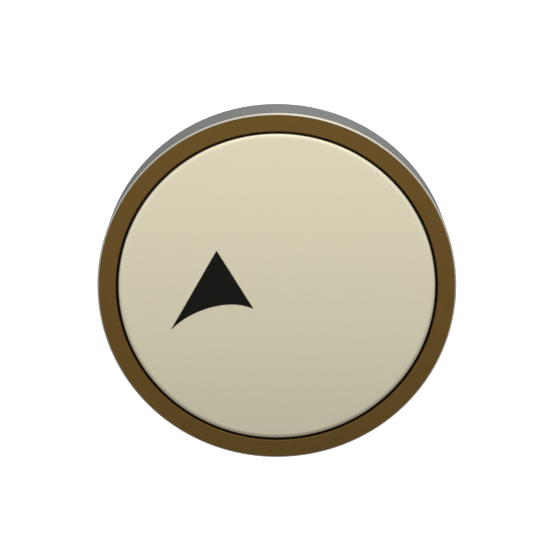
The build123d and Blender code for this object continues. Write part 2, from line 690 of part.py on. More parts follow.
def terminal_plate():
    """Insulating plate with a barrier between the two terminal posts."""
    plate = disc(PLATE_R, PLATE_FRONT, PLATE_BACK)
    plate = chamfer(plate.edges().sort_by(Axis.Y)[-1], PLATE_CHAMFER)
    half = BARRIER_LENGTH / 2
    barrier_depth = (PLATE_BACK - ROOT, PLATE_BACK + BARRIER_HEIGHT)
    plate += block((-BARRIER_HALF, BARRIER_HALF), barrier_depth, (-half, half))
    ends = (PLATE_FRONT - PAST, PLATE_BACK + PAST)
    return plate - discs(COVER_CLEAR_R, *ends, COVER_SCREWS) - discs(POST_R + FIT_GAP, *ends, POSTS)


def cover_screw(x, z):
    """Pan-head screw that holds the terminal plate."""
    length = PLATE_BACK - BARREL_END + COVER_HOLE - DRILL_SPARE
    fastener = screw(COVER_TAP_R - FIT_GAP, length, COVER_HEAD, cross_drive(2.6))
    return rearward(x, PLATE_BACK, z) * fastener


def terminal_post(x):
    """Brass post through the plate, tapped for the field wire's screw."""
    post = disc(POST_COLLAR_R, PLATE_BACK, PLATE_BACK + POST_COLLAR, x)
    post += disc(POST_R, PLATE_FRONT, PLATE_BACK, x)
    post += disc(POST_INNER_R, POST_INNER_END, PLATE_FRONT, x)
    return post - disc(POST_TAP_R, POST_INNER_END + POST_FLOOR, PLATE_BACK + POST_COLLAR + PAST, x)


def solder_lug(x):
    """Ring lug with a tail for the lead, under the nut of a post."""
    outline = Circle(LUG_R) + Pos(0, LUG_TAIL_END / 2) * Rectangle(2 * LUG_TAIL_HALF, LUG_TAIL_END)
    return prism(outline - Circle(POST_INNER_R + 0.1), PLATE_FRONT - LUG, PLATE_FRONT, x)


def post_nut(x):
    """Nut that draws the post tight from inside."""
    thickness = PLATE_FRONT - LUG - POST_INNER_END - THREAD_SHOWN
    nut = hex_nut(NUT_ACROSS, thickness, POST_INNER_R + FIT_GAP)
    return rearward(x, PLATE_FRONT - LUG - thickness, 0) * nut


def cup_washer(x):
    """Cupped washer that keeps the field wire under the screw."""
    seat = PLATE_BACK + POST_COLLAR
    groove = tube(*CUP_GROOVE_R, seat - CUP_WASHER / 2, seat + CUP_WASHER / 2, x)
    return tube(*CUP_WASHER_R, seat, seat + CUP_WASHER, x) - groove


def terminal_screw(x):
    """Slotted screw for the field wire."""
    seat = PLATE_BACK + POST_COLLAR + CUP_WASHER
    length = seat - POST_INNER_END - POST_FLOOR - DRILL_SPARE
    slot = Rectangle(3 * TERMINAL_HEAD[0], SCREW_SLOT)
    return rearward(x, seat, 0) * screw(POST_TAP_R - FIT_GAP, length, TERMINAL_HEAD, slot)


def lead_wire(points):
    """Insulated lead along a route of (x, depth, z) points with rounded corners."""
    route = [Vector(x, at(depth), z) for x, depth, z in points]
    runs = [b - a for a, b in zip(route, route[1:])]
    radii = []
    for before, after in zip(runs, runs[1:]):
        half_turn = math.radians(before.get_angle(after)) / 2
        radii.append(0.45 * min(before.length, after.length) / math.tan(half_turn))
    print("lead radii", [round(radius, 2) for radius in radii])
    path = FilletPolyline(*route, radius=radii)
    lead = sweep(Plane(origin=path @ 0, z_dir=path % 0) * Circle(LEAD_R), path=path)
    print("lead volume", round(lead.volume, 2), "by length", round(math.pi * LEAD_R**2 * path.length, 2))
    return lead


# Each lead leaves its tab along the axis, climbs, turns over in a loop and lands on its lug's tail.

COMMON_LEAD = [
    (TERMINAL_X[0], 29.2, LEAD_ON_TAB),
    (TERMINAL_X[0], 31.9, LEAD_ON_TAB),
    (-12.6, 34.1, 2.9),
    (-12.9, 34.5, 6.1),
    (-12.6, 34.6, 9.6),
    (-10.9, 34.6, 11.5),
    (-8.2, 34.6, 11.6),
    (-6.5, LEAD_ON_LUG, 9.9),
    (-6.4, LEAD_ON_LUG, 7.5),
    (-6.6, LEAD_ON_LUG, 5.2),
]
OPEN_LEAD = [
    (TERMINAL_X[2] - 0.2, 29.2, LEAD_ON_TAB),
    (TERMINAL_X[2] - 0.2, 31.6, LEAD_ON_TAB),
    (2.3, 33.7, 2.6),
    (1.4, 34.4, 6.1),
    (1.3, 34.6, 9.7),
    (2.8, 34.6, 11.3),
    (5.0, 34.6, 11.3),
    (6.5, LEAD_ON_LUG, 9.7),
    (6.6, LEAD_ON_LUG, 7.4),
    (6.4, LEAD_ON_LUG, 5.2),
]


def group(make, centres):
    """The same fastener at each centre, as separate solids of one node."""
    return Compound(children=[make(*centre) for centre in centres])


def parts():
    """Every node's name and its shape."""
    named = {
        "housing": housing(),
        "bezel_ring": bezel_ring(),
        "bezel_lock_screw": bezel_lock_screw(),
        "rim_seal": rim_seal(),
        "bumper_ring": bumper_ring(),
        "mounting_gasket": mounting_gasket(),
        "stem_seal": stem_seal(),
        "button_cap": button_cap(),
        "arrow_inlay": arrow_inlay(),
        "actuator_pin": actuator_pin(),
        "guide_screws": group(guide_screw, GUIDES),
        "stop_washers": group(stop_washer, GUIDES),
        "switch_case": switch_case(),
        "switch_lid": switch_lid(),
        "switch_terminals": switch_terminals(),
        "switch_blade": switch_blade(),
        "switch_plunger": switch_plunger(),
        "switch_lever": switch_lever(),
        "lever_pin": lever_pin(),
        "switch_bracket": switch_bracket(),
        "bracket_screws": group(bracket_screw, BRACKET_SCREWS),
        "switch_screws": Compound(children=[switch_screw(x) for x in SWITCH_HOLE_X]),
        "switch_nuts": Compound(children=[switch_nut(x) for x in SWITCH_HOLE_X]),
        "cover_gasket": cover_gasket(),
        "terminal_plate": terminal_plate(),
        "cover_screws": group(cover_screw, COVER_SCREWS),
        "post_nuts": Compound(children=[post_nut(x) for x in POST_X]),
        "cup_washers": Compound(children=[cup_washer(x) for x in POST_X]),
        "terminal_screws": Compound(children=[terminal_screw(x) for x in POST_X]),
        "lead_common": lead_wire(COMMON_LEAD),
        "lead_open": lead_wire(OPEN_LEAD),
    }
    for number, (x, z) in enumerate(GUIDES, 1):
        named[f"guide_bush_{number}"] = guide_bush(x, z)
        named[f"return_spring_{number}"] = return_spring(x, z)
    for side, x in zip(("common", "open"), POST_X):
        named[f"terminal_post_{side}"] = terminal_post(x)
        named[f"solder_lug_{side}"] = solder_lug(x)
    return named


os.makedirs("parts", exist_ok=True)
for name, shape in parts().items():
    export_step(shape, f"parts/{name}.step")
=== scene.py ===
import math

import bmesh
import bpy
import numpy as np
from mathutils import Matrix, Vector


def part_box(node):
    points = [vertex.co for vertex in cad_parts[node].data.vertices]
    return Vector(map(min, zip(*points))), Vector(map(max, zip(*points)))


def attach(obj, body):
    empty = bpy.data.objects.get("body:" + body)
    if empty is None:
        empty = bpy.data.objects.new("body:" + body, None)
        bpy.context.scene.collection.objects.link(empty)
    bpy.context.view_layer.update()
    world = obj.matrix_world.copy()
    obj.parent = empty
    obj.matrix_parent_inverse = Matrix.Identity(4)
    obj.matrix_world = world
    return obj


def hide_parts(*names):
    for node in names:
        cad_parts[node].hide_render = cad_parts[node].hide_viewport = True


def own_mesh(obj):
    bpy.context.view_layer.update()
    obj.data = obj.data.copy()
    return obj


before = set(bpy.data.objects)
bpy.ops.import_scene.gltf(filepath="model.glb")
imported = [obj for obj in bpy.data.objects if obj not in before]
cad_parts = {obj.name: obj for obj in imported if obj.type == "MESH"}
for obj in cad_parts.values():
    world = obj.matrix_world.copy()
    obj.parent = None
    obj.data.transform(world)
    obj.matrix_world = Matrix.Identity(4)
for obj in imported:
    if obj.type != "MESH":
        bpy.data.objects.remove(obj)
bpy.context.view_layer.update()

# Round push button for a pedestrian crossing, on the axis Y, its face towards -Y and its arrow
# pointing up. Shapes are worked out in millimetres as (x, depth, z): depth is counted backwards
# from the front of the bezel, as a machinist would from the face that is turned first.

MM = 0.001
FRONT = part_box("bezel_ring")[0].y
SAME_POINT = 3e-7  # points no further apart than this, in metres, are one
CUT_FROM_R, CUT_DEPTH = 34.68, 0.36  # where the bezel's rim is cut bright
BARE_ALUMINIUM = (0.62, 0.62, 0.63)
GREY_PAINT = (0.20, 0.215, 0.20)


# Finishes


class Figure:
    """What a finish works out at each point. Arithmetic on it adds Math nodes."""

    def __init__(self, finish, socket):
        self.finish, self.socket = finish, socket

    def worked(self, operation, *values):
        return self.finish.node("ShaderNodeMath", {"operation": operation}, dict(enumerate(values)))

    def __add__(self, other):
        return self.worked("ADD", self, other)

    def __sub__(self, other):
        return self.worked("SUBTRACT", self, other)

    def __rsub__(self, other):
        return self.worked("SUBTRACT", other, self)

    def __mul__(self, other):
        return self.worked("MULTIPLY", self, other)

    __radd__, __rmul__ = __add__, __mul__

    def above(self, limit):
        return self.worked("GREATER_THAN", self, limit)

    def below(self, limit):
        return self.worked("LESS_THAN", self, limit)

    def wave(self, length):
        """Sine of this figure, with one swing in each length."""
        return self.worked("SINE", self * (2.0 * math.pi / length))

    def size(self):
        return self.worked("ABSOLUTE", self)


class Wiring:
    """A node tree whose sockets are each given a number, a colour or a Figure."""

    def __init__(self, tree):
        self.tree = tree

    def node(self, kind, settings, sockets, output=0):
        """One node of any type: its settings first, then the values or links of its sockets."""
        made = self.tree.nodes.new(kind)
        for key, value in settings.items():
            setattr(made, key, value)
        for key, value in sockets.items():
            self.put(made.inputs[key], value)
        return Figure(self, made.outputs[output])

    def put(self, socket, value):
        if isinstance(value, Figure):
            self.tree.links.new(value.socket, socket)
        elif socket.type == "RGBA" and len(value) == 3:
            socket.default_value = (*value, 1.0)
        else:
            socket.default_value = value

    def mixed(self, share, first, second):
        """A colour from first to second."""
        return self.node("ShaderNodeMix", {"data_type": "RGBA"}, {0: share, 6: first, 7: second}, 2)


class Finish(Wiring):
    """A procedural material with one Principled shader.

    Its keywords are the shader's settings that are the same all over the surface.
    """

    def __init__(self, name, **everywhere):
        self.material = bpy.data.materials.new(name)
        self.material.use_nodes = True
        super().__init__(self.material.node_tree)
        self.shader = self.tree.nodes["Principled BSDF"]
        self.settings = everywhere
        self.place = self.node("ShaderNodeTexCoord", {}, {}, "Object")
        x, self.y, z = (
            self.node("ShaderNodeSeparateXYZ", {}, {0: self.place}, i) for i in range(3)
        )
        square = x * x + z * z
        self.radius = square.worked("SQRT", square)

    def noise(self, size, detail=2.0, rough=0.5):
        """Noise from 0 to 1 whose lumps are about this many millimetres across."""
        scale = 1.0 / (size * MM)
        sockets = {"Vector": self.place, "Scale": scale, "Detail": detail, "Roughness": rough}
        return self.node("ShaderNodeTexNoise", {}, sockets)

    def shaded(self, colour, share, swing):
        """A colour made darker and lighter by a share that runs from 0 to 1."""
        dark = tuple(channel * (1.0 - swing) for channel in colour)
        light = tuple(min(1.0, channel * (1.0 + swing)) for channel in colour)
        return self.mixed(share, dark, light)

    def eased(self, figure, low, high):
        """0 below low, 1 above high, and smooth between."""
        sockets = {"Value": figure, "From Min": low, "From Max": high}
        return self.node("ShaderNodeMapRange", {"interpolation_type": "SMOOTHSTEP"}, sockets)

    def relief(self, height, microns):
        """Bumps this many microns high."""
        sockets = {"Height": height, "Distance": microns * MM * MM, "Strength": 1.0}
        self.settings["Normal"] = self.node("ShaderNodeBump", {}, sockets)

    def done(self, **varying):
        for key, value in {**self.settings, **varying}.items():
            self.put(self.shader.inputs[key.replace("_", " ")], value)
        return self.material


def champagne_metal():
    """Bead-blasted aluminium, anodised champagne: an even satin with the faintest mottle."""
    f = Finish("champagne_satin_metal", Metallic=1.0)
    mottle, blast = f.noise(9.0, 3.0), f.noise(0.16, 2.0, 0.6)
    f.relief(blast, 1.6)
    champagne = f.shaded((0.70, 0.655, 0.485), mottle, 0.02)
    return f.done(Base_Color=champagne, Roughness=0.40 + mottle * 0.06)


def bronze_anodised():
    """Bronze anodised aluminium with fine turning marks, and a rim chamfer that is cut bright."""
    f = Finish("bronze_anodised_metal", Metallic=1.0)
    depth = f.y - FRONT
    cut = f.radius.above(CUT_FROM_R * MM) * depth.below(CUT_DEPTH * MM)
    streak, grain = f.noise(5.0, 4.0, 0.6), f.noise(0.12, 2.0)
    f.relief(f.radius.wave(0.14 * MM) * 0.35 + grain, 1.3)
    bronze = f.shaded((0.145, 0.084, 0.022), streak, 0.10)
    return f.done(
        Base_Color=f.mixed(cut, bronze, (0.80, 0.77, 0.68)),
        Roughness=0.42 + streak * 0.08 + cut * 0.06,
    )


def arrow_black():
    """Matt black filled lacquer, hardly any gloss."""
    f = Finish("matt_black_arrow", Specular_IOR_Level=0.12)
    f.relief(f.noise(0.2, 3.0), 3.0)
    cloud = f.noise(3.0, 2.0)
    black = f.shaded((0.0045, 0.0055, 0.003), cloud, 0.15)
    return f.done(Base_Color=black, Roughness=0.62 + cloud * 0.1)


def grey_casting():
    """Grey stoved paint with orange peel; the mounting face is machined back to bare metal."""
    f = Finish("grey_painted_casting")
    machined = f.y.size().below(0.03 * MM)
    peel, dirt, chip = f.noise(0.9, 2.0), f.noise(7.0, 4.0, 0.6), f.noise(0.35, 3.0, 0.7)
    height = peel * (1.0 - machined) * 9.0 + chip * 1.5 + f.radius.wave(0.28 * MM) * machined * 1.6
    f.relief(height, 1.0)
    paint, bare = f.shaded(GREY_PAINT, dirt, 0.12), f.shaded(BARE_ALUMINIUM, chip, 0.06)
    return f.done(
        Base_Color=f.mixed(machined, paint, bare),
        Metallic=machined,
        Roughness=(0.44 + dirt * 0.14) - machined * 0.12,
    )


def metal(name, colour, rough, swing=0.06, grain=0.25, height=1.2):
    """A bare or plated metal, a little mottled in colour and gloss, with a fine rolled grain."""
    f = Finish(name, Metallic=1.0)
    mottle, fine = f.noise(1.6, 4.0, 0.6), f.noise(grain, 3.0, 0.6)
    f.relief(fine, height)
    tone = f.shaded(colour, mottle, swing)
    return f.done(Base_Color=tone, Roughness=(rough - 0.06) + mottle * 0.12)


def zinc_plate():
    """Bright zinc with the faint yellow and blue bloom of its passivation."""
    f = Finish("zinc_plated_steel", Metallic=1.0)
    bloom, fine = f.noise(3.5, 3.0), f.noise(0.3, 3.0)
    f.relief(fine, 1.4)
    tint = f.mixed(f.eased(bloom, 0.35, 0.65), (0.60, 0.63, 0.68), (0.70, 0.66, 0.53))
    return f.done(Base_Color=tint, Roughness=0.26 + fine * 0.12)


def turned_brass():
    """Turned brass, a little tarnished in patches."""
    f = Finish("turned_brass", Metallic=1.0)
    tarnish, fine = f.noise(2.2, 4.0, 0.65), f.noise(0.2, 2.0)
    f.relief(fine, 1.2)
    patch = f.eased(tarnish, 0.45, 0.75)
    brass = f.mixed(patch, (0.80, 0.60, 0.27), (0.56, 0.38, 0.15))
    return f.done(Base_Color=brass, Roughness=0.2 + patch * 0.2)


def rubber(name, colour, rough):
    """Moulded rubber: matt, with fine pores and a dusty bloom."""
    f = Finish(name)
    pores, bloom = f.noise(0.22, 4.0, 0.7), f.noise(4.0, 3.0)
    f.relief(pores, 5.0)
    dusty = tuple(channel + 0.012 for channel in colour)
    return f.done(Base_Color=f.mixed(bloom, colour, dusty), Roughness=(rough - 0.08) + pores * 0.16)


def plastic(name, colour, rough, texture=3.0, swing=0.06):
    """Moulded plastic with the fine sparked texture of its tool and faint flow lines."""
    f = Finish(name)
    spark, flow = f.noise(0.18, 2.0, 0.6), f.noise(5.0, 3.0, 0.6)
    f.relief(spark, texture)
    return f.done(Base_Color=f.shaded(colour, flow, swing), Roughness=(rough - 0.04) + spark * 0.08)


def phenolic():
    """Black phenolic moulding with a few brown specks of filler."""
    f = Finish("black_phenolic")
    speck, spark = f.noise(0.35, 3.0, 0.7), f.noise(0.2, 2.0)
    f.relief(spark, 3.0)
    tone = f.mixed(f.eased(speck, 0.58, 0.72), (0.017, 0.016, 0.015), (0.055, 0.038, 0.024))
    return f.done(Base_Color=tone, Roughness=0.3 + spark * 0.12)


FINISHES = {
    "anodised_ring": bronze_anodised(),
    "button_metal": champagne_metal(),
    "arrow_black": arrow_black(),
    "painted_casting": grey_casting(),
    "steel": metal("stainless_steel", (0.60, 0.60, 0.585), 0.27),
    "spring_steel": metal("drawn_spring_wire", (0.50, 0.50, 0.505), 0.25, 0.1, 0.12),
    "black_rubber": rubber("black_rubber", (0.018, 0.018, 0.018), 0.72),
    "bush_plastic": plastic("natural_acetal", (0.80, 0.79, 0.72), 0.38, 1.5, 0.03),
    "switch_plastic": plastic("black_switch_moulding", (0.024, 0.024, 0.027), 0.42, 3.0, 0.12),
    "plunger_plastic": plastic("red_plunger_moulding", (0.42, 0.022, 0.016), 0.35, 1.5),
    "plate_plastic": phenolic(),
    "brass": turned_brass(),
    "contact_copper": metal("copper_alloy_strip", (0.80, 0.50, 0.31), 0.25, 0.08),
    "plated_steel": zinc_plate(),
    "lead_red": plastic("red_lead_insulation", (0.45, 0.02, 0.016), 0.4, 2.0),
    "lead_black": plastic("black_lead_insulation", (0.02, 0.02, 0.021), 0.42, 2.0),
}

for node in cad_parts.values():
    for held in node.material_slots:
        held.material = FINISHES[held.material.name]


# Shapes


def softened(profile, soft, open_ends):
    """(radius, depth) points whose corners are turned into short parabolas.

    On a corner C the curve is (1-t)^2 A + 2t(1-t) C + t^2 B, where A and B lie on its two sides, at
    the softening length from C or at 0.4 of a short side. One more point on each side, a little
    further out, keeps that side straight up to the curve. The ends of an open profile stay.
    """
    corner = np.array(profile, float)
    before, after = np.roll(corner, 1, axis=0) - corner, np.roll(corner, -1, axis=0) - corner
    if open_ends:
        before[0] = after[-1] = 0.0

    def along(side, share=1.0):
        length = np.linalg.norm(side, axis=1, keepdims=True)
        way = side / np.maximum(length, 1e-9)
        return (corner + way * np.minimum(soft, 0.4 * length) * share)[:, None]

    t = np.linspace(0.0, 1.0, 5)[None, :, None]
    curve = (1 - t) ** 2 * along(before) + 2 * t * (1 - t) * corner[:, None] + t**2 * along(after)
    return np.concatenate([along(before, 1.2), curve, along(after, 1.2)], axis=1).reshape(-1, 2)


def full_turn(columns):
    """Evenly spaced directions round an axis."""
    return np.linspace(0.0, 2.0 * np.pi, columns, endpoint=False)


def turned_about(turn, rows):
    """A grid whose points are (radius cos a, along, radius sin a), for each direction a in turn.

    Each row is (radius, along), and either may be one number or one value for each direction.
    """
    radius, along = (np.stack([row[i] + 0.0 * turn for row in rows]) for i in range(2))
    return np.stack([radius * np.cos(turn), along, radius * np.sin(turn)], axis=-1)


def lathe(profile, soft=0.08, columns=96, solid=False):
    """A turned shape: each profile point (r, w) becomes (r cos a, w, r sin a) for a full turn of a.

    A solid's profile starts and ends on the axis; any other closes on itself.
    """
    curve = softened(profile, soft, solid)
    if not solid:
        curve = np.vstack([curve, curve[:1]])
    return turned_about(full_turn(columns), curve)


def stood(grid, x, depth, z, axis="back"):
    """A shape drawn about the axis w, put at a place with w pointing back, up or down."""
    across, along, aside = np.moveaxis(grid, -1, 0)
    if axis == "back":
        return np.stack([x + across, depth + along, z + aside], axis=-1)
    return np.stack([x + across, depth + aside, z + (along if axis == "up" else -along)], axis=-1)


def piece(name, slot, grids, nodes, body="housing", crease=35.0):
    """One named piece from closed grids: rows run along the profile, and columns close round.

    Each square of four neighbouring points is a face. Points that coincide, as at a pole, become
    one.
    """
    points, faces, start = [], [], 0
    for grid in grids:
        rows, columns = grid.shape[:2]
        number = start + np.arange(rows * columns).reshape(rows, columns)
        beside = np.roll(number, -1, axis=1)
        squares = np.stack([number[:-1], beside[:-1], beside[1:], number[1:]], axis=-1)
        faces.append(squares.reshape(-1, 4))
        points.append(grid.reshape(-1, 3))
        start += rows * columns
    mesh = bpy.data.meshes.new(name)
    mesh.from_pydata(np.vstack(points) * MM + (0.0, FRONT, 0.0), [], np.vstack(faces))
    shell = bmesh.new()
    shell.from_mesh(mesh)
    bmesh.ops.remove_doubles(shell, verts=shell.verts, dist=SAME_POINT)
    bmesh.ops.recalc_face_normals(shell, faces=shell.faces)
    shell.to_mesh(mesh)
    shell.free()
    mesh.shade_smooth()
    mesh.set_sharp_from_angle(angle=math.radians(crease))
    mesh.materials.append(FINISHES[slot])
    made = bpy.data.objects.new(name, mesh)
    bpy.context.scene.collection.objects.link(made)
    weighted = made.modifiers.new("flat_faces_stay_flat", "WEIGHTED_NORMAL")
    weighted.keep_sharp = True
    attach(made, body)
    if nodes:
        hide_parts(*nodes)
    return made


def on_circle(radius, *degrees):
    """(x, z) of each angle on a circle round the axis."""
    turns = [math.radians(angle) for angle in degrees]
    return [(radius * math.cos(turn), radius * math.sin(turn)) for turn in turns]


GUIDES = on_circle(13.0, 90, 210, 330)
COVER_SCREWS = on_circle(15.0, 90, 210, 330)
FIXINGS = on_circle(24.0, 30, 150, 270)
POSTS = [(-6.5, 0.0), (6.5, 0.0)]
SWITCH_BOLTS = (-9.3, 0.2)


# The push cap and its arrow

CAP_FACE, CAP_BACK, CAP_R = 0.0, 1.9, 30.88
CAP_SLOPE, CAP_DROP = 0.8, 0.22
ARROW_FACE, POCKET_FLOOR = -0.35, 0.5
HEART = np.array((-13.0, 1.8))  # a point of the arrow from which its whole outline is seen
TIP, LEFT_TAIL, RIGHT_TAIL = np.array(((-11.72, 7.37), (-20.55, -8.48), (-4.65, -4.28)))
BASE_PULLS = np.array(((-17.2, -4.78), (-9.6, -1.88)))
OUTWARD_LIMIT, INWARD_LIMIT = 2.5, 20.0  # how many times the growth a corner may move


def arrow_outline(grow):
    """Points of the outline, moved outward by grow.

    The flanks are straight. The base is the cubic (1-t)^3 A + 3t(1-t)^2 B + 3t^2(1-t) C + t^3 D
    from tail to tail. A point moves along the line that halves the angle between its two sides,
    far enough for both of them to move by grow.
    """
    t = np.linspace(0.0, 1.0, 160, endpoint=False)[:, None]
    base = (1 - t) ** 3 * LEFT_TAIL + 3 * t * (1 - t) ** 2 * BASE_PULLS[0]
    base += 3 * t**2 * (1 - t) * BASE_PULLS[1] + t**3 * RIGHT_TAIL
    outline = np.vstack([TIP + (LEFT_TAIL - TIP) * t, base, RIGHT_TAIL + (TIP - RIGHT_TAIL) * t])
    arriving = outline - np.roll(outline, 1, axis=0)
    leaving = np.roll(outline, -1, axis=0) - outline
    arriving /= np.linalg.norm(arriving, axis=1, keepdims=True)
    leaving /= np.linalg.norm(leaving, axis=1, keepdims=True)
    half_way = arriving + leaving
    half_way /= np.linalg.norm(half_way, axis=1, keepdims=True)
    outward = np.stack([half_way[:, 1], -half_way[:, 0]], axis=-1)
    stretch = 1 / np.sum(half_way * leaving, axis=1, keepdims=True)
    away = np.sign(np.sum(outward * (outline - HEART), axis=1, keepdims=True).sum())
    limit = OUTWARD_LIMIT if grow > 0 else INWARD_LIMIT
    return outline + away * outward * grow * np.minimum(stretch, limit)


def flat_row(points, depth):
    """A row of (x, z) points at one depth."""
    return np.stack([points[:, 0], np.full(len(points), depth), points[:, 1]], axis=-1)


def arrow_shape():
    """The inlay, whose rows swell from the heart, round over the edge and close on the heart."""
    edge, outline = 0.05, arrow_outline(0.0)
    inner = arrow_outline(-edge)
    rows = [flat_row(HEART + (inner - HEART) * t, ARROW_FACE) for t in (0.0, 0.35, 0.7, 0.97)]
    for turn in np.radians(np.linspace(0, 90, 5)):
        depth = ARROW_FACE + edge * (1 - math.cos(turn))
        rows.append(flat_row(arrow_outline(edge * (math.sin(turn) - 1)), depth))
    rows += [flat_row(outline, POCKET_FLOOR), flat_row(HEART + 0.0 * outline, POCKET_FLOOR)]
    return np.stack(rows)


def cap_shape():
    """The cap: pocket floor, pocket wall, face, sloping rim, side, back and skirt, in one grid.

    Columns leave the arrow's heart like spokes. Face rows slide from the pocket's outline to where
    each spoke meets the rim, at -h.d + sqrt((h.d)^2 - h.h + r^2). The slope's rows are circles at a
    depth of the drop times 0.7 s^2 + 0.3 s^12, and the rows after them are circles too.
    """
    pocket, lip = arrow_outline(0.015), arrow_outline(0.035)
    direction = (pocket - HEART) / np.linalg.norm(pocket - HEART, axis=1, keepdims=True)
    level = direction @ HEART
    flat_r = CAP_R - CAP_SLOPE
    spoke = -level + np.sqrt(level**2 - HEART @ HEART + flat_r**2)
    rim = HEART + direction * spoke[:, None]
    heading = rim / flat_r
    rows = [flat_row(HEART + (pocket - HEART) * t, POCKET_FLOOR) for t in (0.0, 0.5, 1.0)]
    for turn in np.radians(np.linspace(0, 90, 4)):
        depth = CAP_FACE + 0.02 * (1 - math.sin(turn))
        rows.append(flat_row(pocket + (lip - pocket) * (1 - math.cos(turn)), depth))
    shares = (0.003, 0.08, 0.2, 0.35, 0.5, 0.7, 0.85, 0.97, 1.0)
    rows += [flat_row(lip + (rim - lip) * share, CAP_FACE) for share in shares]
    for share in np.linspace(0.0, 1.0, 13)[1:]:
        radius = flat_r + CAP_SLOPE * share
        depth = CAP_FACE + CAP_DROP * (0.7 * share**2 + 0.3 * share**12)
        rows.append(flat_row(heading * radius, depth))
    tail = [
        (CAP_R, CAP_FACE + CAP_DROP), (CAP_R, CAP_BACK), (29.5, CAP_BACK), (29.5, 5.6),
        (28.0, 5.6), (28.0, CAP_BACK), (0.0, CAP_BACK),
    ]
    rows += [flat_row(heading * radius, depth) for radius, depth in softened(tail, 0.15, True)]
    return np.stack(rows)


def boss(bore_r, outer_r, start, end):
    """A round boss with a hole through it: a rectangle between two radii and two depths, turned."""
    return lathe([(bore_r, start), (outer_r, start), (outer_r, end), (bore_r, end)], 0.12, 64)


cap_bosses = [stood(boss(1.27, 2.6, 1.5, 4.0), x, 0.0, z) for x, z in GUIDES]
cap_grids = [cap_shape(), boss(2.02, 3.4, 1.5, 4.5), *cap_bosses]
piece("button_cap_plate", "button_metal", cap_grids, ["button_cap"], "button")
piece("raised_arrow", "arrow_black", [arrow_shape()], ["arrow_inlay"], "button", 50.0)


# Turned rings

RINGS = (
    ("turned_bezel", "anodised_ring", "bezel_ring", 0.05, 360, (
        (31.3, 0.15), (31.45, 0.0), (34.65, 0.0), (35.0, 0.35), (35.0, 0.7), (33.2, 0.7),
        (33.2, 2.1), (32.8, 2.5), (33.2, 2.9), (33.2, 4.4), (31.3, 4.4),
    )),
    ("wiper_seal", "black_rubber", "rim_seal", 0.1, 240, (
        (33.23, 4.4), (33.23, 5.6), (31.3, 5.6), (30.4, 5.25), (29.55, 4.6), (29.55, 4.35),
        (30.4, 4.75), (31.3, 5.05), (31.3, 4.4),
    )),
    ("bumper", "black_rubber", "bumper_ring", 0.3, 240, (
        (27.9, 7.65), (29.9, 7.65), (29.9, 8.8), (27.9, 8.8),
    )),
    ("flange_gasket", "black_rubber", "mounting_gasket", 0.2, 240, (
        (30.65, 8.8), (32.95, 8.8), (32.95, 9.8), (30.65, 9.8),
    )),
    ("pin_grommet", "black_rubber", "stem_seal", 0.1, 96, (
        (2.05, 7.8), (4.6, 7.8), (4.6, 8.4), (3.38, 8.4), (3.38, 10.4), (4.6, 10.4), (4.0, 11.0),
        (2.05, 11.0), (2.05, 10.4), (2.45, 9.4), (2.05, 8.4),
    )),
)
for name, slot, node, soft, columns, profile in RINGS:
    piece(name, slot, [lathe(profile, soft, columns)], [node])

BUSH_TOP = 7.8
bush_profile = [
    (1.55, BUSH_TOP), (3.6, BUSH_TOP), (3.6, 8.4), (2.5, 8.4), (2.5, 12.2), (1.55, 12.2),
]
bush = lathe(bush_profile, 0.12, 64)
for number, (x, z) in enumerate(GUIDES, 1):
    flanged = stood(bush, x, 0.0, z)
    piece(f"flanged_bush_{number}", "bush_plastic", [flanged], [f"guide_bush_{number}"])

washer = lathe([(1.52, 12.25), (3.3, 12.25), (3.3, 12.9), (1.52, 12.9)], 0.15, 64)
washers = [stood(washer, x, 0.0, z) for x, z in GUIDES]
piece("stop_washer_set", "black_rubber", washers, ["stop_washers"], "button")


# Turned pins


def domed(radius, centre, start, steps=9):
    """Profile points of a dome, a quarter circle from its side to the axis, towards start."""
    turn = np.radians(np.linspace(0, 90, steps))
    return [(radius * math.cos(a), centre + start * radius * math.sin(a)) for a in turn]


pin = [(0, 1.4), (2.0, 1.4), (2.0, 12.0), (1.8, 12.2), (1.5, 12.2), *domed(1.5, 12.22, 1)]
piece("works_pin", "steel", [lathe(pin, 0.06, 64, True)], ["actuator_pin"], "button")

plunger_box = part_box("switch_plunger")
plunger_tip, plunger_end = [(corner.y - FRONT) / MM for corner in plunger_box]
plunger = [
    *domed(1.0, plunger_tip + 1.0, -1)[::-1], (1.0, 19.0), (1.5, 19.0), (1.5, 19.55), (1.0, 19.55),
    (1.0, plunger_end), (0, plunger_end),
]
plunger_grid = stood(lathe(plunger, 0.05, 48, True), -10.0, 0.0, 0.0)
piece("plunger_button", "plunger_plastic", [plunger_grid], ["switch_plunger"], "switch_plunger")

pivot = [(0, -3.1), (0.45, -3.1), (0.45, 3.1), (0, 3.1)]
pivot_grid = stood(lathe(pivot, 0.12, 32, True), -14.0, 16.4, 0.0, "up")
piece("pivot_pin", "steel", [pivot_grid], ["lever_pin"])


# Screws and nuts

ROWS_A_PITCH = 6  # rows that draw one turn of a thread


def hexagon(across):
    """Distance of a hexagon's side in each direction: half its width over a cosine.

    The cosine is of the angle to the nearest flat's middle.
    """
    return lambda turn: across / 2 / np.cos(np.mod(turn, np.pi / 3) - np.pi / 6)


def bar(turn, half_length, half_width):
    """Distance of a rectangle's side in each direction."""
    with np.errstate(divide="ignore"):
        return np.minimum(half_length / np.abs(np.cos(turn)), half_width / np.abs(np.sin(turn)))


def cross(size):
    """Distance of a cross-shaped recess's wall in each direction: the further of two bars."""
    long, short = size / 2, size * 0.14
    return lambda turn: np.maximum(bar(turn, long, short), bar(turn, short, long))


def ridge(along, turn, pitch):
    """Thread wave from 0 at the crest to 1 at the root, moving on by one pitch in each turn."""
    return np.abs(np.mod(along / pitch - turn / (2 * np.pi), 1.0) - 0.5) * 2.0


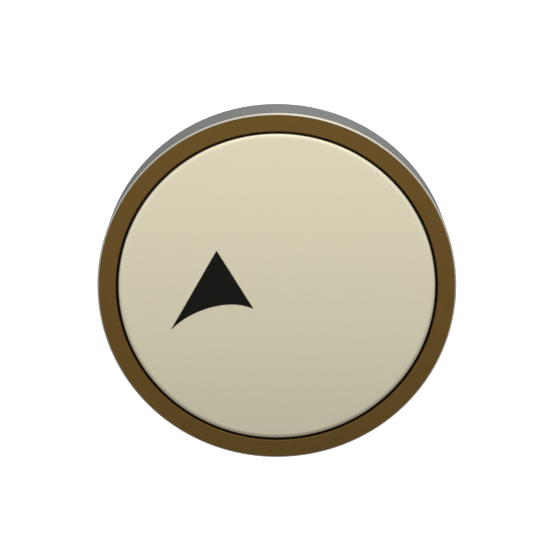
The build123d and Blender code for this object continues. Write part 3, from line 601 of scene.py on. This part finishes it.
def thread(radius, start, end, pitch, turn):
    """Rows of a threaded shaft, whose radius loses half a pitch times the ridge wave."""
    spots = np.linspace(start, end, max(2, int(abs(end - start) / pitch * ROWS_A_PITCH)))
    return [(radius - 0.5 * pitch * ridge(along, turn, pitch), along) for along in spots]


def crowned(head, crown, mouth):
    """Rows of a head's rounded edge, which is a quarter circle and never goes inside the mouth.

    They are (f + c sin a, h - c (1 - cos a)), where f is the head's flat radius and h its height.
    """
    (head_r, height), rows = head, []
    for a in np.radians(np.linspace(15, 90, 6)):
        out = head_r - crown + crown * math.sin(a)
        rows.append((np.maximum(out, mouth), height - crown * (1 - math.cos(a))))
    return rows


def screw(shaft, head, recess, floor, crown, columns=72):
    """A screw about its axis, its head's seat at 0 and the head above it.

    Rows go from the middle of the recess out over the head, down its side, in under it and down the
    shaft, which is listed as (radius, end, pitch) stages. A stage without a pitch is plain.
    """
    head_r, height = head
    turn = full_turn(columns)
    mouth = np.minimum(recess(turn), head_r - 0.05)
    rows = [(mouth * t, floor) for t in (0.0, 0.5, 0.9)] + [(mouth * 0.97, floor + 0.06)]
    rows += [(mouth, height - 0.05), (mouth + 0.04, height)]
    face = head_r - crown
    rows += [(np.maximum(mouth + 0.06, mouth + (face - mouth) * t), height) for t in (0.1, 1.0)]
    rows += crowned(head, crown, mouth + 0.08)
    rows += [(head_r, 0.08), (head_r - 0.02, 0.02), (head_r - 0.08, 0.0)]
    start = 0.0
    for radius, end, pitch in shaft:
        plain = [(radius, start), (radius, end)]
        rows += thread(radius, start, end, pitch, turn) if pitch else plain
        start = end
    rows += [(0.72 * radius, start - 0.25 * radius), (0.0, start - 0.25 * radius)]
    return turned_about(turn, rows)


def slotted(shaft_r, length, head, width, floor, crown, pitch):
    """A slotted screw. Columns beside the slot's ends are doubled, so that its walls are upright.

    A column in the slot stays on the slot's floor out to the head's side. Any other column climbs
    the wall at half the slot's width over its sine, and goes out over the head.
    """
    head_r, height = head
    end = math.asin(width / 2 / head_r)
    spans = [(-end, end, 6, True), (end, np.pi - end, 40, False)]
    spans += [(a + np.pi, b + np.pi, n, inside) for a, b, n, inside in spans]
    turn = np.concatenate([np.linspace(a, b, n) for a, b, n, _ in spans])
    inside = np.concatenate([np.full(n, slot) for _, _, n, slot in spans])
    with np.errstate(divide="ignore"):
        wall = np.where(inside, head_r, np.minimum(width / 2 / np.abs(np.sin(turn)), head_r))
    face = head_r - crown
    rows = [(wall * t, floor) for t in (0.0, 0.5, 1.0)]
    rows += [(wall, height), (np.maximum(wall, face), height)]
    rows += crowned(head, crown, wall)
    rows += [(head_r, 0.1), (head_r - 0.03, 0.03), (head_r - 0.1, 0.0)]
    rows += [*thread(shaft_r, 0.0, -length, pitch, turn), (0.0, -length)]
    cut = [(radius, np.where(inside, np.minimum(along, floor), along)) for radius, along in rows]
    return turned_about(turn, cut)


def nut(across, thickness, bore_r, pitch=0.4, columns=72):
    """A hexagon nut with coned corners, about its axis and from 0 to its thickness.

    Past a circle inside its flats, each face drops by 0.58 a millimetre. Its bore carries the
    ridge wave.
    """
    turn = full_turn(columns)
    flats = hexagon(across)(turn)
    land = across / 2 * 0.95
    drop = 0.58 * (flats - land)
    rows = [(flats, drop), (flats, thickness - drop), (land, thickness), (bore_r + 0.25, thickness)]
    for along in np.linspace(thickness - 0.2, 0.2, int(thickness / pitch * ROWS_A_PITCH)):
        rows.append((bore_r + 0.15 * pitch * (1 - ridge(along, turn, pitch)), along))
    rows += [(bore_r + 0.25, 0.0), (land, 0.0), (flats, drop)]
    return turned_about(turn, rows)


guide = screw([(1.5, -8.9, 0), (1.25, -11.4, 0.45)], (2.75, 2.2), hexagon(2.5), 0.9, 0.33)
guides = [stood(guide, x, 12.9, z) for x, z in GUIDES]
piece("shoulder_screws", "steel", guides, ["guide_screws"], "button")

cover = screw([(1.03, -10.3, 0.4)], (2.3, 1.7), cross(2.6), 0.7, 0.6)
covers = [stood(cover, x, 38.8, z) for x, z in COVER_SCREWS]
piece("plate_screws", "steel", covers, ["cover_screws"])

foot = screw([(1.2, -3.7, 0.45)], (2.1, 1.5), cross(2.2), 0.6, 0.52)
feet = [stood(foot, x, 11.4, 6.7) for x in (-12.0, -7.0)]
piece("foot_screws", "plated_steel", feet, ["bracket_screws"])

through = screw([(1.1, -9.1, 0.4)], (1.9, 1.3), cross(2.0), 0.52, 0.45)
bolts = [stood(through, x, 25.65, 4.2, "up") for x in SWITCH_BOLTS]
piece("case_screws", "plated_steel", bolts, ["switch_screws"])
nuts = [stood(nut(4.0, 1.6, 1.12), x, 25.65, -4.8, "up") for x in SWITCH_BOLTS]
piece("case_nuts", "plated_steel", nuts, ["switch_nuts"])

inner = [stood(nut(7.0, 1.7, 2.47, 0.5), x, 33.5, z) for x, z in POSTS]
piece("inner_nuts", "brass", inner, ["post_nuts"])

field = slotted(1.63, 6.7, (3.7, 2.3), 1.0, 0.92, 0.8, 0.7)
piece("field_screws", "brass", [stood(field, x, 40.9, z) for x, z in POSTS], ["terminal_screws"])

cup_profile = [
    (2.15, 39.8), (3.2, 39.8), (3.2, 40.35), (3.4, 40.35), (3.4, 39.8), (4.0, 39.8), (4.0, 40.9),
    (2.15, 40.9),
]
cup = lathe(cup_profile, 0.12)
piece("cupped_washers", "plated_steel", [stood(cup, x, 0.0, z) for x, z in POSTS], ["cup_washers"])

post_profile = [
    (0, 33.2), (2.45, 33.2), (2.45, 35.8), (2.95, 35.8), (2.95, 38.8), (4.2, 38.8), (4.2, 39.8),
    (1.65, 39.8), (1.65, 34.0), (0, 34.0),
]
post = lathe(post_profile, 0.12, solid=True)
for (x, z), side in zip(POSTS, ("common", "open")):
    piece(f"turned_post_{side}", "brass", [stood(post, x, 0.0, z)], [f"terminal_post_{side}"])


def grub():
    """A grub screw with a hexagon socket and a cone point, threaded along nearly all of it."""
    body = screw([(1.25, -0.85, 0.4), (0.3, -1.05, 0)], (1.25, 0.25), hexagon(1.3), -0.4, 0.1, 48)
    return stood(body, 0.0, 2.5, -34.15, "down")


piece("grub_screw", "steel", [grub()], ["bezel_lock_screw"])


def tapped(bore_r, start, end, pitch, columns=48):
    """The thread of a tapped hole: a thin sleeve whose inside carries the ridge wave."""
    turn = full_turn(columns)
    spots = np.linspace(start, end, int((end - start) / pitch * ROWS_A_PITCH))
    rows = [(bore_r, start)]
    for along in spots:
        crest = 0.22 * pitch * (1 - ridge(along, turn, pitch))
        rows.append((bore_r - 0.02 - crest, along))
    return turned_about(turn, [*rows, (bore_r, end), (bore_r, start)])


threads = [stood(tapped(1.64, 5.8, 9.5, 0.7), x, 0.0, z) for x, z in FIXINGS]
piece("tapped_threads", "steel", threads, [])


# Return springs


def spring():
    """A coil spring with closed, ground ends.

    The wire's middle is (r cos a, h(a), r sin a), where h gathers a slope that is one wire a turn
    at the ends and wider between them. The section is a circle in the radial and axial directions,
    cut flat where it would pass either end.
    """
    turns, radius, wire, section = 5.4, 3.1, 0.6, 12
    low, high = CAP_BACK, BUSH_TOP
    height = high - low - 0.5 * wire
    steps = np.linspace(0.0, 1.0, int(turns * 40))
    from_end = np.minimum(steps, 1 - steps) * turns
    open_share = np.clip((from_end - 0.75) / 0.5, 0.0, 1.0)
    spread = open_share**2 * (3 - 2 * open_share)
    shut = wire / height * turns
    slope = shut + spread * (1 - shut) * len(steps) / spread.sum()
    rise = np.concatenate([[0.0], np.cumsum((slope[1:] + slope[:-1]) / 2) / (len(steps) - 1)])
    middle = low + 0.25 * wire + height * rise / rise[-1]
    turn, around = 2 * np.pi * turns * steps[:, None], full_turn(section)[None]
    out = radius + wire / 2 * np.cos(around) + 0 * turn
    depth = np.clip(middle[:, None] + wire / 2 * np.sin(around), low, high)
    body = np.stack([out * np.cos(turn), depth, out * np.sin(turn)], axis=-1)
    first, last = (np.broadcast_to(body[i].mean(axis=0), body[i].shape)[None] for i in (0, -1))
    return np.concatenate([first, body, last])


for number, (x, z) in enumerate(GUIDES, 1):
    wound = stood(spring(), x, 0.0, z)
    coil = piece(f"coil_spring_{number}", "spring_steel", [wound], [f"return_spring_{number}"])
    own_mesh(coil)


# Stage, light and camera

WHITE, PALE = (1.0, 1.0, 1.0), (0.9, 0.9, 0.9)
FLOOR_HEIGHT, FLOOR_REACH = -0.6, 6.0


def soft_light(name, place, aim, width, height, brightness):
    """A plain soft panel of even brightness."""
    lamp = bpy.data.lights.new(name, "AREA")
    lamp.shape, lamp.size, lamp.size_y = "RECTANGLE", width, height
    lamp.energy = brightness * math.pi * width * height
    held = bpy.data.objects.new(name, lamp)
    held.location = place
    held.rotation_euler = (Vector(aim) - Vector(place)).to_track_quat("-Z", "Y").to_euler()
    held.visible_camera = False
    bpy.context.scene.collection.objects.link(held)


soft_light("front_panel", (0.0, -0.30, -0.01), (0.0, 0.0, -0.01), 0.60, 0.18, 0.98)
soft_light("upper_panel", (0.04, -0.27, 0.20), (0.0, 0.0, 0.0), 0.44, 0.18, 1.9)
soft_light("top_panel", (0.10, 0.13, 0.36), (0.0, 0.0, 0.0), 0.30, 0.30, 2.0)


def studio():
    """Even white behind the object; the room's light fades from its ceiling to its floor."""
    world = bpy.data.worlds.new("studio")
    world.use_nodes = True
    bpy.context.scene.world = world
    tree = world.node_tree
    tree.nodes.clear()
    room = Wiring(tree)
    way = room.node("ShaderNodeTexCoord", {}, {}, "Generated")
    up = room.node("ShaderNodeSeparateXYZ", {}, {0: way}, 2)
    share = room.node("ShaderNodeMapRange", {}, {"Value": up, "From Min": -1.0, "From Max": 1.0})
    glow = room.mixed(share, (0.28, 0.28, 0.28), (0.50, 0.50, 0.51))
    seen = room.node("ShaderNodeLightPath", {}, {}, "Is Camera Ray")
    light = room.node("ShaderNodeBackground", {}, {"Color": room.mixed(seen, glow, WHITE)})
    tree.links.new(light.socket, tree.nodes.new("ShaderNodeOutputWorld").inputs["Surface"])


studio()

floor_mesh = bpy.data.meshes.new("floor")
signs = ((-1, -1), (1, -1), (1, 1), (-1, 1))
corners = [(x * FLOOR_REACH, y * FLOOR_REACH, FLOOR_HEIGHT) for x, y in signs]
floor_mesh.from_pydata(corners, [], [(0, 1, 2, 3)])
floor = bpy.data.objects.new("floor", floor_mesh)
bpy.context.scene.collection.objects.link(floor)
pale = Finish(
    "pale_floor", Base_Color=PALE, Roughness=0.9, Emission_Color=WHITE, Emission_Strength=1.0
)
floor_mesh.materials.append(pale.done())
floor.visible_diffuse = floor.visible_glossy = False

# The camera looks down on the face from 16.5 degrees above the axis, from well away.
TILT, DISTANCE, FRAME_WIDTH = math.radians(16.46), 0.875, 0.1071
SIDE, RISE = 0.00036, 0.00243  # how far left of and above the bezel's middle the camera aims
eye = bpy.data.cameras.new("camera")
eye.sensor_width = 36.0
eye.lens = eye.sensor_width * DISTANCE / FRAME_WIDTH
eye.clip_start, eye.clip_end = 0.01, 30.0
camera = bpy.data.objects.new("camera", eye)
bpy.context.scene.collection.objects.link(camera)
bpy.context.scene.camera = camera
back = Vector((0.0, -math.cos(TILT), math.sin(TILT)))
upward = Vector((0.0, math.sin(TILT), math.cos(TILT)))
aim = Vector((-SIDE, FRONT, 0.0)) + upward * RISE
camera.location = aim + back * DISTANCE
camera.rotation_euler = (-back).to_track_quat("-Z", "Y").to_euler()

bpy.context.scene.view_settings.view_transform = "Standard"
